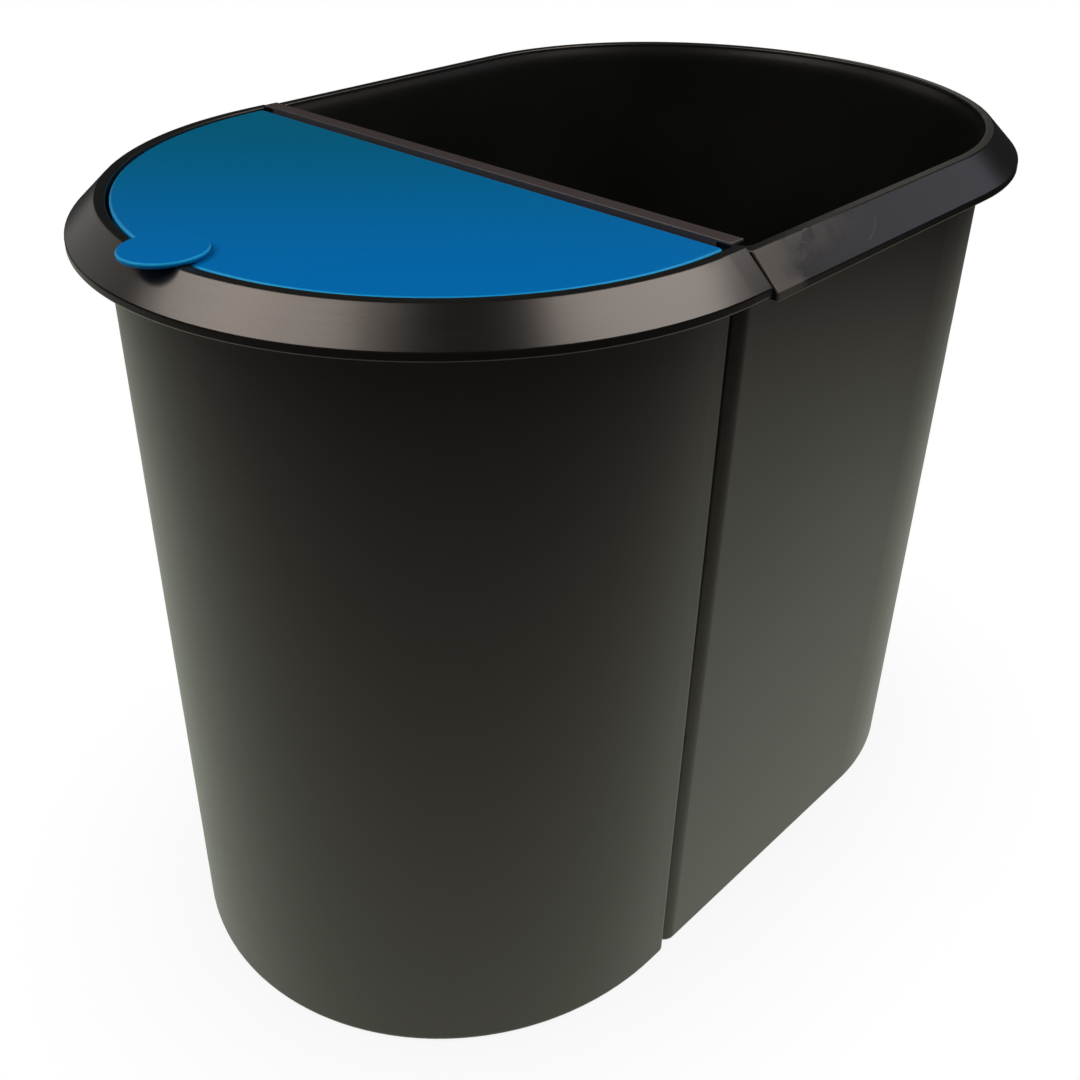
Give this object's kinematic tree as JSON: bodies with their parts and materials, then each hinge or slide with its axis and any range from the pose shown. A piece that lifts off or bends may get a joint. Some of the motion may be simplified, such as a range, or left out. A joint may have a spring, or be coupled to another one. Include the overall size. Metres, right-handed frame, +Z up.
{
  "type": "double recycling bin",
  "caption": "Oval waste bin in two lift-apart halves with sloping rims, a joining rail along the seam and a hinged flap lid with a thumb tab over the smaller half.",
  "frame": {"origin": "on the floor, under the middle of the whole pair", "axes": "+X from the small bin towards the large one, +Y along the seam between them, +Z up"},
  "size_m": [0.4388, 0.295, 0.3422],
  "materials": {
    "bin_plastic": "fine matte moulded, black",
    "lid_plastic": "satin moulded, blue"
  },
  "bodies": {
    "large_bin": {"large_bin": "bin_plastic"},
    "small_bin": {"small_bin": "bin_plastic", "joining_rail": "bin_plastic"},
    "lid": {"lid": "lid_plastic"}
  },
  "joints": [
    {"name": "small_bin_lift", "type": "slide", "parent": "large_bin", "child": "small_bin", "axis": [0, 0, 1], "range_m": [0, 0.36]},
    {"name": "lid_hinge", "type": "hinge", "parent": "small_bin", "child": "lid", "pos_m": [-0.0725, 0, 0.3362], "axis": [0, 1, 0], "range_deg": [0, 104]}
  ]
}
